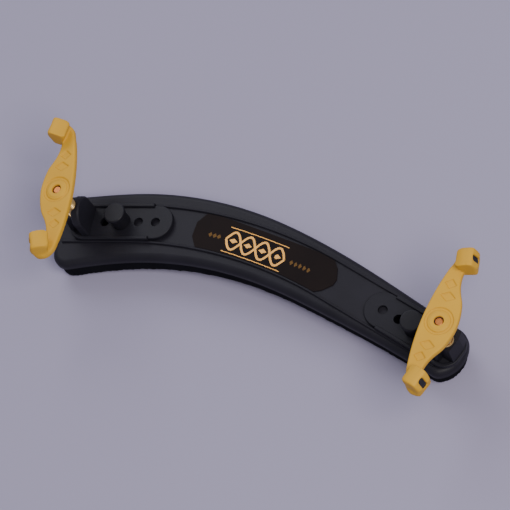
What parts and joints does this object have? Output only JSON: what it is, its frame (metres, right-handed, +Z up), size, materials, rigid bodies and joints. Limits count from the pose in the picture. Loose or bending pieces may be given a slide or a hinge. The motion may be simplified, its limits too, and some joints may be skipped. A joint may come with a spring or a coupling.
{
  "type": "violin shoulder rest",
  "caption": "Curved black shoulder rest on a foam pad, with sliding end brackets, clamp knobs and height-adjustable yellow rubber forks that grip a violin's edges",
  "frame": {"origin": "on the floor under the centre of the bounding box", "axes": "+X along the bar towards its narrow end, +Y towards the convex edge, +Z up out of the channel"},
  "size_m": [0.2304, 0.0804, 0.0594],
  "materials": {
    "bar_plastic": "fine-grained black moulded plastic",
    "bracket_plastic": "fine-grained black moulded plastic",
    "foam": "black closed-cell foam",
    "label": "dark brown-black film with a plain gold ornament",
    "knob_plastic": "black plastic, satin",
    "steel": "plain steel",
    "black_steel": "black coated sheet steel",
    "screw_brass": "turned brass",
    "brass": "turned brass",
    "copper": "copper coloured rivet head",
    "fork_rubber": "mustard yellow rubber, satin"
  },
  "bodies": {
    "bar": {"base_bar": "bar_plastic", "foam_pad": "foam", "label_plate": "label"},
    "left_bracket": {"left_bracket": "bracket_plastic", "left_brass_insert": "brass", "left_slide_nut": "steel"},
    "left_knob": {"left_knob_stud": "steel", "left_knob_cap": "knob_plastic"},
    "left_screw": {"left_height_screw": "screw_brass"},
    "left_fork": {"left_fork_core": "black_steel", "left_fork_cover": "fork_rubber", "left_rivet": "copper"},
    "right_bracket": {"right_bracket": "bracket_plastic", "right_brass_insert": "brass", "right_slide_nut": "steel"},
    "right_knob": {"right_knob_stud": "steel", "right_knob_cap": "knob_plastic"},
    "right_screw": {"right_height_screw": "screw_brass"},
    "right_fork": {"right_fork_core": "black_steel", "right_fork_cover": "fork_rubber", "right_rivet": "copper"}
  },
  "joints": [
    {"name": "left_width_slide", "type": "slide", "parent": "bar", "child": "left_bracket", "axis": [-0.9693, -0.2247, -0.1], "range_m": [-0.0025, 0.014]},
    {"name": "left_knob_turn", "type": "hinge", "parent": "left_bracket", "child": "left_knob", "pos_m": [-0.07522, 0.01078, 0.01771], "axis": [-0.1003, -0.0099, 0.9949], "range_deg": [-180, 180]},
    {"name": "left_fork_height", "type": "slide", "parent": "left_bracket", "child": "left_screw", "axis": [-0.1003, -0.0099, 0.9949], "range_m": [-0.005, 0.004]},
    {"name": "left_fork_turn", "type": "hinge", "parent": "left_screw", "child": "left_fork", "pos_m": [-0.0947, 0.00627, 0.0157], "axis": [-0.1003, -0.0099, 0.9949], "range_deg": [-1802, 1442]},
    {"name": "right_width_slide", "type": "slide", "parent": "bar", "child": "right_bracket", "axis": [0.9717, -0.2247, -0.0728], "range_m": [-0.014, 0.014]},
    {"name": "right_knob_turn", "type": "hinge", "parent": "right_bracket", "child": "right_knob", "pos_m": [0.08456, 0.00082, 0.01604], "axis": [0.0725, -0.0099, 0.9973], "range_deg": [-180, 180]},
    {"name": "right_fork_height", "type": "slide", "parent": "right_bracket", "child": "right_screw", "axis": [0.0725, -0.0099, 0.9973], "range_m": [-0.005, 0.004]},
    {"name": "right_fork_turn", "type": "hinge", "parent": "right_screw", "child": "right_fork", "pos_m": [0.10409, -0.00369, 0.01457], "axis": [0.0725, -0.0099, 0.9973], "range_deg": [-1802, 1442]}
  ],
  "couplings": [
    {"joint": "left_fork_turn", "follows": "left_fork_height", "rad_per_m": 6283.2},
    {"joint": "right_fork_turn", "follows": "right_fork_height", "rad_per_m": 6283.2}
  ]
}
